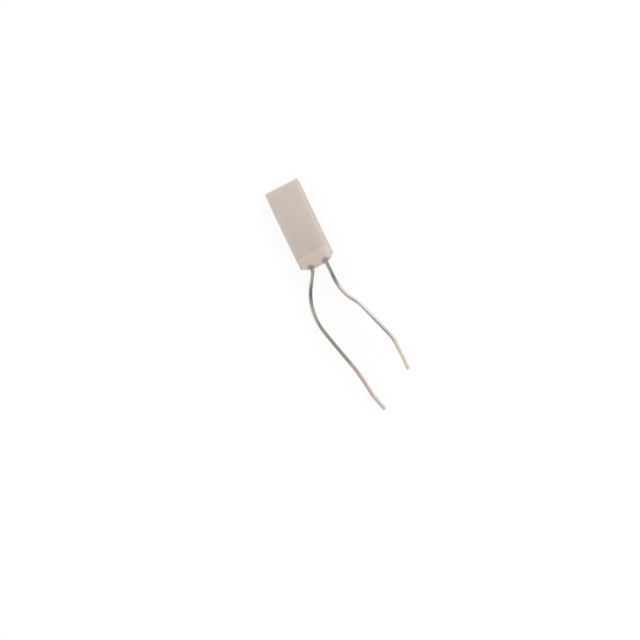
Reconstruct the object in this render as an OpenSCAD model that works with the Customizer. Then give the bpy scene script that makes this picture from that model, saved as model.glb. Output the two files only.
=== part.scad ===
// Thin-film resistance temperature detector with two bare wire leads.
// A ceramic chip carries a meandering platinum film under a glass glaze. Two round wires are
// welded to pads at one end of the chip, and a bead of glass fixes them there.
// The origin is the centre of the chip's back face. +Z points out of the glazed face and the
// leads run toward -Y. All sizes are in millimetres.

/* [Chip] */
// Width of the ceramic chip
chip_w = 2.12; // [1.6:0.02:2.6]
// Length of the ceramic chip
chip_l = 4.95; // [3.5:0.05:8]
// Thickness of the ceramic chip
chip_t = 0.64; // [0.5:0.01:1]
// Depth of the scribe line that the chip was snapped along, from the back face
scribe_depth = 0.18; // [0.05:0.01:0.3]
// How far the scribe line bevels the back edges inward
scribe_bevel = 0.03; // [0.01:0.005:0.06]

/* [Platinum film] */
// Thickness of the film
film_t = 0.002; // [0.001:0.0005:0.005]
// Width of the track
line_w = 0.04; // [0.03:0.005:0.08]
// Gap between neighbouring legs of the track
line_gap = 0.04; // [0.03:0.005:0.08]
// Bare margin between the track and the edge of the glaze
track_margin = 0.08; // [0.05:0.01:0.3]
// Number of trimming bars across the last turn
trim_bars = 7; // [2:1:10]
// How many of those bars the laser has cut
trim_cuts = 4; // [0:1:10]
// Spacing of the trimming bars
trim_step = 0.16; // [0.1:0.01:0.2]
// Width of the laser's cut
trim_kerf = 0.015; // [0.01:0.001:0.02]

/* [Contact pads] */
// Width of a pad
pad_w = 0.66; // [0.5:0.01:0.7]
// Length of a pad
pad_l = 0.55; // [0.45:0.01:0.6]
// Thickness of a pad
pad_t = 0.02; // [0.01:0.005:0.03]
// Distance from the pads to the end of the chip
pad_setback = 0.1; // [0.05:0.01:0.15]
// How far the film reaches out from under a pad on every side
film_lap = 0.015; // [0.01:0.005:0.02]

/* [Glaze] */
// Thickness of the glaze at its middle
glaze_t = 0.16; // [0.1:0.01:0.2]
// Bare rim of ceramic round the glaze
glaze_rim = 0.03; // [0.02:0.01:0.08]
// How much thinner the glaze is at its long edges than at its middle
glaze_crown = 0.03; // [0.02:0.005:0.05]
// Radius of the rounded edges of the glaze
glaze_edge_r = 0.08; // [0.03:0.01:0.1]
// Radius of the corners of the glaze, seen from above
glaze_corner_r = 0.12; // [0.05:0.01:0.3]
// Gap between the glaze and the pads
glaze_pad_gap = 0.03; // [0.02:0.01:0.05]

/* [Fixing bead] */
// Height of the bead above the chip
bead_h = 0.45; // [0.4:0.01:0.6]
// How far the bead reaches past the end of the chip
bead_overhang = 0.25; // [0.15:0.01:0.35]
// Radius of the bead's back
bead_r = 0.55; // [0.5:0.01:0.65]
// Radius that the two ends of the bead are rounded over with
bead_end_r = 0.45; // [0.2:0.05:0.45]
// Gap between the ends of the bead and the sides of the chip
bead_side_gap = 0.01; // [0:0.01:0.1]
// Least height of the bead above the back face
bead_floor_gap = 0.05; // [0.02:0.01:0.1]

/* [Leads] */
// Diameter of the lead wire
wire_d = 0.22; // [0.18:0.01:0.25]
// Distance between the two leads in the bead
lead_pitch = 0.95; // [0.85:0.01:1.05]
// How far the pair of leads sits off the chip's centre line
lead_shift = 0.07; // [-0.1:0.01:0.1]
// Length of the flattened foot that is welded to the pad
foot_l = 0.4; // [0.3:0.01:0.42]
// Width of the foot
foot_w = 0.3; // [0.26:0.01:0.36]
// Thickness of the foot
foot_t = 0.1; // [0.08:0.01:0.14]
// Length over which the round wire is pressed down into the foot
neck_l = 0.15; // [0.1:0.01:0.2]
// Gap between the round wire and the pad under it
wire_lift = 0.02; // [0.01:0.005:0.04]

/* [Left lead] */
// Straight from the bead to the kink
left_out = 0.07; // [0:0.01:1]
// Angle of the kink, away from the other lead, in degrees
left_kink = 34; // [10:1:45]
// Radius of the kink
left_kink_r = 0.3; // [0.25:0.05:1]
// Straight from the kink to the long sweep
left_slant = 0.75; // [0.2:0.05:2]
// Angle of the long sweep back, toward the other lead, in degrees
left_sweep = 47.5; // [20:0.5:60]
// Radius of the long sweep
left_sweep_r = 3.5; // [2:0.1:6]
// Straight after the long sweep
left_run = 2.7; // [1:0.05:4]
// Angle of the slow bend that follows, in degrees
left_ease = 7.5; // [2:0.5:15]
// Radius of the slow bend
left_ease_r = 9; // [6:0.5:20]
// Straight from the slow bend to the last bend
left_last_run = 0.65; // [0.2:0.05:2]
// Angle of the last bend, in degrees
left_nick = 9; // [2:0.5:15]
// Radius of the last bend
left_nick_r = 1.2; // [1:0.1:4]
// Straight at the free end
left_tip = 1.0; // [0.5:0.05:3]
// How far the left lead's kink is turned downward, in degrees
left_droop = 5; // [0:1:6]

/* [Right lead] */
// Straight from the bead to the first bend
right_out = 1.0; // [0:0.05:3]
// Angle of the first bend, away from the other lead, in degrees
right_splay = 32; // [10:1:50]
// Radius of the first bend
right_splay_r = 3; // [1:0.1:6]
// Straight from the first bend to the second
right_slant = 0.45; // [0:0.05:1]
// Angle of the second bend, toward the other lead, in degrees
right_ease = 12; // [5:1:20]
// Radius of the second bend
right_ease_r = 1.6; // [1:0.1:8]
// Straight from the second bend to the third
right_run = 2.25; // [0.5:0.05:4]
// Angle of the third bend, toward the other lead, in degrees
right_turn = 18; // [5:0.5:30]
// Radius of the third bend
right_turn_r = 2.6; // [2:0.1:8]
// Straight at the free end
right_tip = 1.65; // [0.5:0.05:3]
// How far the right lead's first bend is turned upward, in degrees
right_rise = 10; // [0:1:20]

/* [Hidden] */

$fn = 48;
// Cutting shapes run this far past what they cut.
over = 1;
LEFT = -1;
RIGHT = 1;

// The chip's lead end and its far end.
lead_end_y = -chip_l / 2;
far_end_y = chip_l / 2;

// The pads stand on the film.
film_top = chip_t + film_t;
pad_top = film_top + pad_t;
pad_y = lead_end_y + pad_setback + pad_l / 2;
pad_x = lead_pitch / 2;

// The glaze starts just past the pads and ends at the far rim.
glaze_y0 = pad_y + pad_l / 2 + glaze_pad_gap;
glaze_y1 = far_end_y - glaze_rim;
glaze_w = chip_w - 2 * glaze_rim;
glaze_l = glaze_y1 - glaze_y0;
glaze_crown_r = (pow(glaze_w / 2, 2) + pow(glaze_crown, 2)) / (2 * glaze_crown);
// The crown is a small arc of a large circle, so that circle takes many sides.
crown_sides = 720;

// An even number of legs fits between the margins, so that both ends come out by the pads.
line_pitch = line_w + line_gap;
legs = 2 * floor((glaze_w - 2 * track_margin + line_gap) / (2 * line_pitch));
track_far_y = glaze_y1 - track_margin - line_w / 2;
// The two ends cross to their legs just inside the glaze, and the near turns stay clear of them.
track_cross_y = glaze_y0 + line_w;
track_near_y = track_cross_y + line_pitch;
// Each corner of a turn is cut back by a share of the pitch.
turn_cut_share = 0.3;
turn_cut = line_pitch * turn_cut_share;

// The bead is a round bar across the chip, with its axis here and its ends rounded over.
bead_front_y = lead_end_y - bead_overhang;
bead_y = bead_front_y + bead_r;
bead_z = chip_t + bead_h - bead_r;
bead_end_x = chip_w / 2 - bead_side_gap;

// The round wire starts on the foot and runs straight to the bead's face.
wire_z = pad_top + wire_lift + wire_d / 2;
foot_front_y = pad_y - foot_l / 2;
wire_start_y = foot_front_y + neck_l;
wire_in_bead = wire_start_y - bead_front_y;
// A ball a hair wider than the wire joins each straight to its bend.
joint_share = 1.01;
joint_d = wire_d * joint_share;
// The ends of the foot are arcs of a circle that is a little wider than the foot is long.
foot_round_share = 1.08;
foot_round_d = foot_l * foot_round_share;

// Directions of a bend, as clock angles seen along the wire.
TO_RIGHT = 0;
TO_LEFT = 180;
// Each row holds a straight, then the radius, the angle and the direction of the bend after it.
left_bends = [
    [wire_in_bead + left_out, left_kink_r, left_kink, TO_LEFT + left_droop],
    [left_slant, left_sweep_r, left_sweep, TO_RIGHT],
    [left_run, left_ease_r, left_ease, TO_LEFT],
    [left_last_run, left_nick_r, left_nick, TO_RIGHT]
];
right_bends = [
    [wire_in_bead + right_out, right_splay_r, right_splay, TO_RIGHT + right_rise],
    [right_slant, right_ease_r, right_ease, TO_LEFT],
    [right_run, right_turn_r, right_turn, TO_LEFT]
];

// Unit vector from a to b, and the vector a quarter turn to its left.
function dir(a, b) = (b - a) / norm(b - a);
function left_of(v) = [-v[1], v[0]];

// How far, and which way, a ribbon's left edge lies from point i of its centre line, for a
// half width of 1. At a corner the edge goes to where the two straight edges meet.
function miter(path, i) =
    let (
        before = left_of(dir(path[max(i - 1, 0)], path[max(i, 1)])),
        after = left_of(dir(path[min(i, len(path) - 2)], path[min(i + 1, len(path) - 1)]))
    )
    (before + after) / (1 + before * after);

// Outline of a ribbon of width w along a centre line.
function ribbon(path, w) = [
    for (i = [0 : len(path) - 1]) path[i] + miter(path, i) * w / 2,
    for (i = [len(path) - 1 : -1 : 0]) path[i] - miter(path, i) * w / 2
];

// X of a leg of the track, counted from the left.
function leg_x(i) = (i - (legs - 1) / 2) * line_pitch;

// Centre line of the turn between leg i and the next, with its corners cut at 45 degrees.
function turn(i) =
    let (
        far = i % 2 == 0,
        y = far ? track_far_y : track_near_y,
        back = far ? -turn_cut : turn_cut
    )
    [
        [leg_x(i), y + back],
        [leg_x(i) + turn_cut, y],
        [leg_x(i + 1) - turn_cut, y],
        [leg_x(i + 1), y + back]
    ];

// Centre line of the whole track, from the left pad to the right one.
function track_path() = [
    [-pad_x, pad_y],
    [-pad_x, track_cross_y],
    [leg_x(0), track_cross_y],
    for (i = [0 : legs - 2]) each turn(i),
    [leg_x(legs - 1), track_cross_y],
    [pad_x, track_cross_y],
    [pad_x, pad_y]
];

// A flat block over a pad's place, grown by a margin on every side.
module pad_block(side, margin, thickness) {
    translate([side * pad_x, pad_y, thickness / 2])
        cube([pad_w + 2 * margin, pad_l + 2 * margin, thickness], center = true);
}

// Bars between the last two legs. The laser cuts them one by one, farthest from the turn first,
// and each cut sends the current the longer way round.
module trim_ladder() {
    mid_x = (leg_x(legs - 2) + leg_x(legs - 1)) / 2;
    for (i = [1 : trim_bars])
        translate([mid_x, track_far_y - i * trim_step, film_t / 2])
            difference() {
                cube([line_pitch, line_w, film_t], center = true);
                if (i > trim_bars - trim_cuts)
                    cube([trim_kerf, 2 * line_w, 2 * film_t], center = true);
            }
}

// The film: the meander, its trimming bars and the two lands that the pads are printed on.
module platinum_film() {
    color("#A9ADB2")
        translate([0, 0, chip_t]) {
            linear_extrude(film_t)
                polygon(ribbon(track_path(), line_w));
            trim_ladder();
            for (side = [LEFT, RIGHT])
                pad_block(side, film_lap, film_t);
        }
}

// A bar along Y or X whose lower edges are bevelled by the scribe line.
module scribed_bar(width, length) {
    half = width / 2;
    rotate([90, 0, 0])
        linear_extrude(length, center = true)
            polygon([
                [-half + scribe_bevel, 0], [half - scribe_bevel, 0],
                [half, scribe_depth], [half, chip_t],
                [-half, chip_t], [-half, scribe_depth]
            ]);
}

// The ceramic chip. Its four back edges keep the slope of the laser's scribe line, and the rest
// of each edge face is where the sheet was snapped.
module alumina_chip() {
    color("#D8CCC1")
        intersection() {
            scribed_bar(chip_w, chip_l + 2 * over);
            rotate(90)
                scribed_bar(chip_l, chip_w + 2 * over);
        }
}

module contact_pad(side) {
    color("#B7AA98")
        translate([0, 0, film_top])
            pad_block(side, 0, pad_t);
}

// Plan of the glaze: a rectangle with round corners.
module glaze_plan() {
    w = glaze_w - 2 * glaze_corner_r;
    l = glaze_l - 2 * glaze_corner_r;
    translate([0, (glaze_y0 + glaze_y1) / 2])
        union() {
            square([glaze_w, l], center = true);
            square([w, glaze_l], center = true);
            for (x = [-w / 2, w / 2], y = [-l / 2, l / 2])
                translate([x, y])
                    circle(glaze_corner_r);
        }
}

// Section across the glaze: a shallow crown between two rounded edges.
module glaze_section() {
    edge_h = glaze_t - glaze_crown;
    flat = glaze_w - 2 * glaze_edge_r;
    intersection() {
        translate([0, glaze_t - glaze_crown_r])
            circle(glaze_crown_r, $fn = crown_sides);
        union() {
            translate([-flat / 2, 0])
                square([flat, glaze_t + over]);
            translate([-glaze_w / 2, -over])
                square([glaze_w, over + edge_h - glaze_edge_r]);
            for (x = [-flat / 2, flat / 2])
                translate([x, edge_h - glaze_edge_r])
                    circle(glaze_edge_r);
        }
    }
}

// The glaze before it is moulded to the film: its plan, its crowned section, and a section
// along it that rounds the two ends over.
module glaze_blank() {
    end_z = glaze_t - glaze_edge_r;
    translate([0, 0, chip_t])
        intersection() {
            linear_extrude(glaze_t + over)
                glaze_plan();
            rotate([90, 0, 0])
                linear_extrude(chip_l + 2 * over, center = true)
                    glaze_section();
            rotate([90, 0, 90])
                linear_extrude(chip_w + 2 * over, center = true)
                    union() {
                        translate([glaze_y0, -over])
                            square([glaze_l, over + end_z]);
                        translate([glaze_y0 + glaze_edge_r, -over])
                            square([glaze_l - 2 * glaze_edge_r, 2 * over + glaze_t]);
                        for (y = [glaze_y0 + glaze_edge_r, glaze_y1 - glaze_edge_r])
                            translate([y, end_z])
                                circle(glaze_edge_r);
                    }
        }
}

module protective_glaze() {
    color("#CABCB1")
        difference() {
            glaze_blank();
            platinum_film();
        }
}

// What is taken off a corner of the bead's section to round it over.
module bead_corner() {
    difference() {
        square(bead_end_r + over);
        circle(bead_end_r);
    }
}

// The bead before the other pieces are taken out of it.
module bead_blank() {
    round_x = bead_end_x - bead_end_r;
    translate([0, bead_y, bead_z])
        rotate([0, 90, 0])
            rotate_extrude()
                difference() {
                    translate([0, -bead_end_x])
                        square([bead_r, 2 * bead_end_x]);
                    translate([bead_r - bead_end_r, round_x])
                        bead_corner();
                    translate([bead_r - bead_end_r, -round_x])
                        mirror([0, 1])
                            bead_corner();
                }
}

// Everything the bead can't fill: the chip and the room behind and under it.
module bead_limit() {
    wide = chip_w + 2 * over;
    translate([-wide / 2, lead_end_y, -over])
        cube([wide, chip_l, over + chip_t]);
    translate([-wide / 2, lead_end_y - chip_l, -over])
        cube([wide, 2 * chip_l, over + bead_floor_gap]);
}

module fixing_bead() {
    color("#C3B5A9")
        difference() {
            bead_blank();
            bead_limit();
            glaze_blank();
            platinum_film();
            contact_pad(LEFT);
            contact_pad(RIGHT);
            lead_left();
            lead_right();
        }
}

module wire_straight(length) {
    cylinder(d = wire_d, h = length);
}

// A bend that starts along +Z and turns toward +X.
module wire_bend(r, angle) {
    translate([r, 0, 0])
        rotate([90, 0, 0])
            rotate([0, 0, 180 - angle])
                rotate_extrude(angle = angle)
                    translate([r, 0])
                        circle(d = wire_d);
}

// The wire from row i of its bends to its free end, starting along +Z.
module wire_run(bends, tip, i = 0) {
    if (i == len(bends)) {
        wire_straight(tip);
    } else {
        straight = bends[i][0];
        r = bends[i][1];
        angle = bends[i][2];
        clock = bends[i][3];
        if (straight > 0)
            wire_straight(straight);
        translate([0, 0, straight])
            rotate([0, 0, clock]) {
                sphere(d = joint_d);
                wire_bend(r, angle);
                translate([r - r * cos(angle), 0, r * sin(angle)])
                    rotate([0, angle, 0]) {
                        sphere(d = joint_d);
                        rotate([0, 0, -clock])
                            wire_run(bends, tip, i + 1);
                    }
            }
    }
}

// The foot: the wire's end, pressed flat on its pad.
module weld_foot() {
    translate([0, pad_y, pad_top])
        linear_extrude(foot_t)
            intersection() {
                square([foot_w, foot_l], center = true);
                circle(d = foot_round_d);
            }
}

// The part of the wire's start that the weld has pressed away: all above a slope that rises
// from the foot to the top of the wire.
module neck_cut() {
    rise = wire_z + wire_d / 2 - pad_top - foot_t;
    translate([0, wire_start_y, pad_top + foot_t])
        rotate([-atan2(rise, neck_l), 0, 0])
            translate([-over / 2, -over / 2, 0])
                cube([over, over, over]);
}

// A lead: its foot, its pressed neck and the bent wire.
module lead(side, bends, tip) {
    translate([side * pad_x + lead_shift, 0, 0]) {
        weld_foot();
        difference() {
            translate([0, wire_start_y, wire_z])
                rotate([90, 0, 0])
                    wire_run(bends, tip);
            neck_cut();
        }
    }
}

module lead_left() {
    color("#8E8A86")
        lead(LEFT, left_bends, left_tip);
}

module lead_right() {
    color("#8E8A86")
        lead(RIGHT, right_bends, right_tip);
}

alumina_chip();
platinum_film();
contact_pad(LEFT);  // contact_pad_left
contact_pad(RIGHT);  // contact_pad_right
protective_glaze();
fixing_bead();
lead_left();
lead_right();
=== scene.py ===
import bpy
import numpy as np
from mathutils import Matrix, Vector


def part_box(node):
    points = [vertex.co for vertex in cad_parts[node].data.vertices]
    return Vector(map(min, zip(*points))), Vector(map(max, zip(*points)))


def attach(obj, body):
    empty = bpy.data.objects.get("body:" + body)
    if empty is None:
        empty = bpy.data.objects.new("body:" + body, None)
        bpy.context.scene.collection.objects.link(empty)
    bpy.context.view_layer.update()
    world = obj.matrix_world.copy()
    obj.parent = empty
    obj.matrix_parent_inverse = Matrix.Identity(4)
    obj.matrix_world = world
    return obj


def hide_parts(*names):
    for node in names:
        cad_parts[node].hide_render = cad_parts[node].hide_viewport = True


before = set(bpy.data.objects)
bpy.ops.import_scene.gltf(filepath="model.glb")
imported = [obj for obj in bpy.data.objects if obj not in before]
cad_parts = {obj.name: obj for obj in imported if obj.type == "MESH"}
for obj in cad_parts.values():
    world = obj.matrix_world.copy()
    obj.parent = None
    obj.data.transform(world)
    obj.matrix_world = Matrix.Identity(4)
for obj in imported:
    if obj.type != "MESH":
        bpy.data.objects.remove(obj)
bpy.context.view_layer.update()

scene = bpy.context.scene
scene.view_settings.view_transform = "Standard"

# ---------------------------------------------------------------------------------------------
# Camera. It looks down on the glazed face, leaning a little to the right and to the lead end,
# and is rolled so that the leads run toward the lower right.
# ---------------------------------------------------------------------------------------------
MM = 0.001
VIEW_WIDTH = 37.5 * MM
LENS_MM = 180.0
SENSOR_MM = 36.0
NEAREST_SEEN = 0.01
FURTHEST_SEEN = 10.0
# The way to the camera, the way that is up in the picture, and how far in millimetres the
# picture's centre lies right of the part's origin and below it.
LEAN = (0.2, -0.1, 0.975)
UPWARD = (0.44, 0.898, 0.0)
CENTRE_RIGHT_MM = 1.12
CENTRE_DOWN_MM = 5.58

toward_camera = Vector(LEAN).normalized()
picture_right = Vector(UPWARD).cross(toward_camera).normalized()
picture_up = toward_camera.cross(picture_right)
camera_target = picture_right * CENTRE_RIGHT_MM * MM - picture_up * CENTRE_DOWN_MM * MM
camera_distance = VIEW_WIDTH * LENS_MM / SENSOR_MM

camera_data = bpy.data.cameras.new("camera")
camera_data.lens = LENS_MM
camera_data.sensor_width = SENSOR_MM
camera_data.clip_start = NEAREST_SEEN
camera_data.clip_end = FURTHEST_SEEN
camera = bpy.data.objects.new("camera", camera_data)
scene.collection.objects.link(camera)
camera.location = camera_target + toward_camera * camera_distance
camera_turn = Matrix((picture_right, picture_up, toward_camera)).transposed()
camera.rotation_euler = camera_turn.to_euler()
scene.camera = camera

# ---------------------------------------------------------------------------------------------
# Table and light. A white table top, one soft square lamp that stands to the right, toward the
# chip's far end, and a room that is bright at the horizon and dim overhead.
# ---------------------------------------------------------------------------------------------
TABLE_HALF = 3.0
TABLE_COLOR = (0.86, 0.86, 0.86, 1.0)
TABLE_GLOW_SHARE = 0.72
TABLE_GLOW = 1.08
LAMP_TOWARD = (0.75, 0.45, 0.5)
LAMP_DISTANCE = 0.4
LAMP_SIZE = 0.25
LAMP_WATTS = 0.3
ROOM_LEVEL = 1.39
# Gray of the room at a height, from 0 at the horizon to 1 overhead.
ROOM_GRAYS = [(0.0, 1.0), (0.5, 0.85), (0.75, 0.62), (0.88, 0.40), (1.0, 0.32)]


def new_node(nodes, kind, **values):
    """Adds a node and sets its plain properties."""
    node = nodes.new(kind)
    for name, value in values.items():
        setattr(node, name, value)
    return node


def ramp(nodes, links, value, stops):
    """A colour that follows a value through (value, colour) stops, straight between them.
    The values rise, and lie between 0 and 1."""
    node = nodes.new("ShaderNodeValToRGB")
    elements = node.color_ramp.elements
    elements.remove(elements[1])
    elements[0].position, elements[0].color = stops[0][0], (*stops[0][1], 1.0)
    for place, color in stops[1:]:
        elements.new(place).color = (*color, 1.0)
    links.new(value, node.inputs["Fac"])
    return node.outputs["Color"]


def seen_directly(nodes, links):
    """1 for a ray that the camera, a glossy surface or a clear one sends, and 0 for all others."""
    path = nodes.new("ShaderNodeLightPath")
    glossy = new_node(nodes, "ShaderNodeMath", operation="MAXIMUM")
    links.new(path.outputs["Is Camera Ray"], glossy.inputs[0])
    links.new(path.outputs["Is Glossy Ray"], glossy.inputs[1])
    either = new_node(nodes, "ShaderNodeMath", operation="MAXIMUM")
    links.new(glossy.outputs[0], either.inputs[0])
    links.new(path.outputs["Is Transmission Ray"], either.inputs[1])
    return either.outputs[0]


def table_material():
    """White paint. Where it is looked at it is mostly glow, so that it stays white, and the
    rest of it is paint that takes the object's shadow."""
    material = bpy.data.materials.new("table_white")
    material.use_nodes = True
    nodes, links = material.node_tree.nodes, material.node_tree.links
    nodes.clear()
    paint = nodes.new("ShaderNodeBsdfDiffuse")
    paint.inputs["Color"].default_value = TABLE_COLOR
    glow = nodes.new("ShaderNodeEmission")
    glow.inputs["Strength"].default_value = TABLE_GLOW
    share = new_node(nodes, "ShaderNodeMath", operation="MULTIPLY")
    share.inputs[1].default_value = TABLE_GLOW_SHARE
    links.new(seen_directly(nodes, links), share.inputs[0])
    mix = nodes.new("ShaderNodeMixShader")
    links.new(share.outputs[0], mix.inputs["Fac"])
    links.new(paint.outputs["BSDF"], mix.inputs[1])
    links.new(glow.outputs["Emission"], mix.inputs[2])
    out = nodes.new("ShaderNodeOutputMaterial")
    links.new(mix.outputs[0], out.inputs["Surface"])
    return material


table_mesh = bpy.data.meshes.new("table")
table_mesh.from_pydata(
    [(x * TABLE_HALF, y * TABLE_HALF, 0.0) for x, y in ((-1, -1), (1, -1), (1, 1), (-1, 1))],
    [],
    [(0, 1, 2, 3)],
)
table_mesh.materials.append(table_material())
table = bpy.data.objects.new("table", table_mesh)
scene.collection.objects.link(table)

lamp_data = bpy.data.lights.new("lamp_right", "AREA")
lamp_data.size = LAMP_SIZE
lamp_data.energy = LAMP_WATTS
lamp = bpy.data.objects.new("lamp_right", lamp_data)
scene.collection.objects.link(lamp)
lamp_direction = Vector(LAMP_TOWARD).normalized()
lamp.location = lamp_direction * LAMP_DISTANCE
lamp.rotation_euler = lamp_direction.to_track_quat("Z", "Y").to_euler()

room = bpy.data.worlds.new("room")
scene.world = room
room.use_nodes = True
room_nodes, room_links = room.node_tree.nodes, room.node_tree.links
room_nodes.clear()
room_place = room_nodes.new("ShaderNodeTexCoord")
room_axes = room_nodes.new("ShaderNodeSeparateXYZ")
room_links.new(room_place.outputs["Generated"], room_axes.inputs[0])
room_gray = ramp(room_nodes, room_links, room_axes.outputs["Z"],
                 [(height, (gray, gray, gray)) for height, gray in ROOM_GRAYS])
room_light = room_nodes.new("ShaderNodeBackground")
room_light.inputs["Strength"].default_value = ROOM_LEVEL
room_links.new(room_gray, room_light.inputs["Color"])
room_out = room_nodes.new("ShaderNodeOutputWorld")
room_links.new(room_light.outputs[0], room_out.inputs["Surface"])

# ---------------------------------------------------------------------------------------------
# Ceramic chip. A plate of fired alumina, cut from a sheet: a laser scribes a row of pits into
# the back, and the plate is snapped along them, so its edge faces are pitted below and
# broken above.
# ---------------------------------------------------------------------------------------------
chip_low, chip_high = (np.array(corner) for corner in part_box("alumina_chip"))
# Corner radii seen from the glazed face: far right, far left, lead end left, and lead end
# right, which is chipped. Then what the left side has lost at its corners, and how far along.
CHIP_CORNERS = np.array([0.03, 0.05, 0.08, 0.25]) * MM
CORNER_WEAR = 0.025 * MM
WEAR_REACH = 0.45 * MM
CHIP_EDGE = 0.012 * MM
SCRIBE_DEPTH = 0.18 * MM
SCRIBE_BEVEL = 0.03 * MM
# The pits: their pitch and depth, the power that shapes them, and the share of the bevel over
# which they fade in, as 1 over this.
PIT_PITCH = 0.09 * MM
PIT_DEPTH = 0.012 * MM
PIT_POWER = 0.6
PIT_FADE = 3
# The snapped part: the height and the longest wave of its relief, and how many times closer
# the waves lie up the edge than along it.
SNAP_RELIEF = 0.003 * MM
SNAP_SIZE = 0.35 * MM
SNAP_STRETCH = 3
SNAP_SEED = 3
# The step along the outline, the rings on a rounded edge, up the bevel, up the snapped part
# and across a face, and how large a face's smallest and largest ring are against its edge.
CHIP_STEP = 0.015 * MM
EDGE_RINGS = 4
BEVEL_RINGS = 11
SNAP_RINGS = 19
FACE_RINGS = 10
FACE_SHARES = (0.08, 0.97)
CORNER_STEPS = 8
# Unevenness: how many sines, their shortest length as a share of the longest, and what brings
# their mean back to about 1.
WAVE_SINES = 6
WAVE_SHORTEST = 0.45
WAVE_GAIN = 1.6
# Fired surfaces: how fine the clouds and the grain are, the distances from a cell's middle, in
# cells, at which a pinhole ends and is full, and the share of cells without one.
CLOUD_DETAIL = 3.0
GRAIN_DETAIL = 4.0
GRAIN_ROUGHNESS = 0.6
PINHOLE_RIM = 0.16
PINHOLE_FLOOR = 0.07
CELLS_WITHOUT = 0.86
ALUMINA_COLOR = (0.62, 0.56, 0.51, 1.0)
ALUMINA_SHADE = (0.57, 0.51, 0.46, 1.0)
ALUMINA_CLOUD_MM = 0.9
ALUMINA_GRAIN_MM = 0.012
ALUMINA_RELIEF_MM = 0.004
ALUMINA_ROUGHNESS = 0.72
ALUMINA_GLOSS = 0.4


def waves(a, b, size, seed):
    """Smooth unevenness between about -1 and 1: the mean of some sines of a and b, times a
    gain. Their directions, lengths and phases come from a seeded draw, and the longest is
    about size long."""
    draw = np.random.default_rng(seed)
    angle = draw.uniform(0, 2 * np.pi, WAVE_SINES)
    length = size * draw.uniform(WAVE_SHORTEST, 1.0, WAVE_SINES)
    phase = draw.uniform(0, 2 * np.pi, WAVE_SINES)
    along = a[..., None] * np.cos(angle) + b[..., None] * np.sin(angle)
    return np.sin(along * 2 * np.pi / length + phase).mean(axis=-1) * WAVE_GAIN


def round_rectangle(half_x, half_y, radii, step):
    """Outline of a rectangle with four round corners, as points and outward normals, turning
    left from the right side. Points are step apart on the sides, and each corner is a quarter
    circle about a centre that lies its radius inside both sides."""
    signs = np.array([(1, 1), (-1, 1), (-1, -1), (1, -1)])
    centres = signs * (np.array([half_x, half_y]) - np.reshape(radii, (-1, 1)))
    points, normals = [], []
    for i, (centre, radius) in enumerate(zip(centres, radii)):
        turn = (i + np.linspace(0, 1, CORNER_STEPS + 1)) * np.pi / 2
        normal = np.stack([np.cos(turn), np.sin(turn)], axis=1)
        after = (i + 1) % len(signs)
        first = centre + radius * normal[-1]
        last = centres[after] + radii[after] * normal[-1]
        count = int(np.linalg.norm(last - first) / step)
        share = np.arange(1, count)[:, None] / count
        points += [centre + radius * normal, first + (last - first) * share]
        normals += [normal, np.repeat(normal[-1:], count - 1, axis=0)]
    return np.concatenate(points), np.concatenate(normals)


def closed_faces(rows, columns):
    """Faces of a closed skin whose vertices are a first pole, rows of closed rings and a last
    pole: a fan at each pole and squares between neighbouring rings. The rings turn left as
    seen from the last pole."""
    column = np.arange(columns)
    after = (column + 1) % columns
    first = 1 + column
    fan = np.stack([np.zeros(columns, int), first[after], first], axis=1)
    last = 1 + (rows - 1) * columns + column
    top = np.stack([np.full(columns, 1 + rows * columns), last, last[after]], axis=1)
    ring = 1 + np.arange(rows - 1)[:, None] * columns
    squares = np.stack(
        [ring + column, ring + after, ring + columns + after, ring + columns + column], axis=-1
    ).reshape(-1, 4)
    return fan, squares, top


def skin(name, first_pole, rings, last_pole, material):
    """A smooth closed mesh from a pole, an array of rings (row, column, xyz) and a pole."""
    rows, columns = rings.shape[:2]
    points = np.concatenate([[first_pole], rings.reshape(-1, 3), [last_pole]])
    fan, squares, top = closed_faces(rows, columns)
    corners = np.concatenate([fan.ravel(), squares.ravel(), top.ravel()])
    sizes = np.repeat([3, 4, 3], [len(fan), len(squares), len(top)])
    starts = np.concatenate([[0], np.cumsum(sizes)[:-1]])
    mesh = bpy.data.meshes.new(name)
    mesh.vertices.add(len(points))
    mesh.vertices.foreach_set("co", points.ravel())
    mesh.loops.add(len(corners))
    mesh.loops.foreach_set("vertex_index", corners.astype(np.int32))
    mesh.polygons.add(len(sizes))
    mesh.polygons.foreach_set("loop_start", starts.astype(np.int32))
    mesh.polygons.foreach_set("use_smooth", np.ones(len(sizes), bool))
    mesh.update(calc_edges=True)
    mesh.validate()
    mesh.materials.append(material)
    piece = bpy.data.objects.new(name, mesh)
    scene.collection.objects.link(piece)
    return piece


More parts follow.
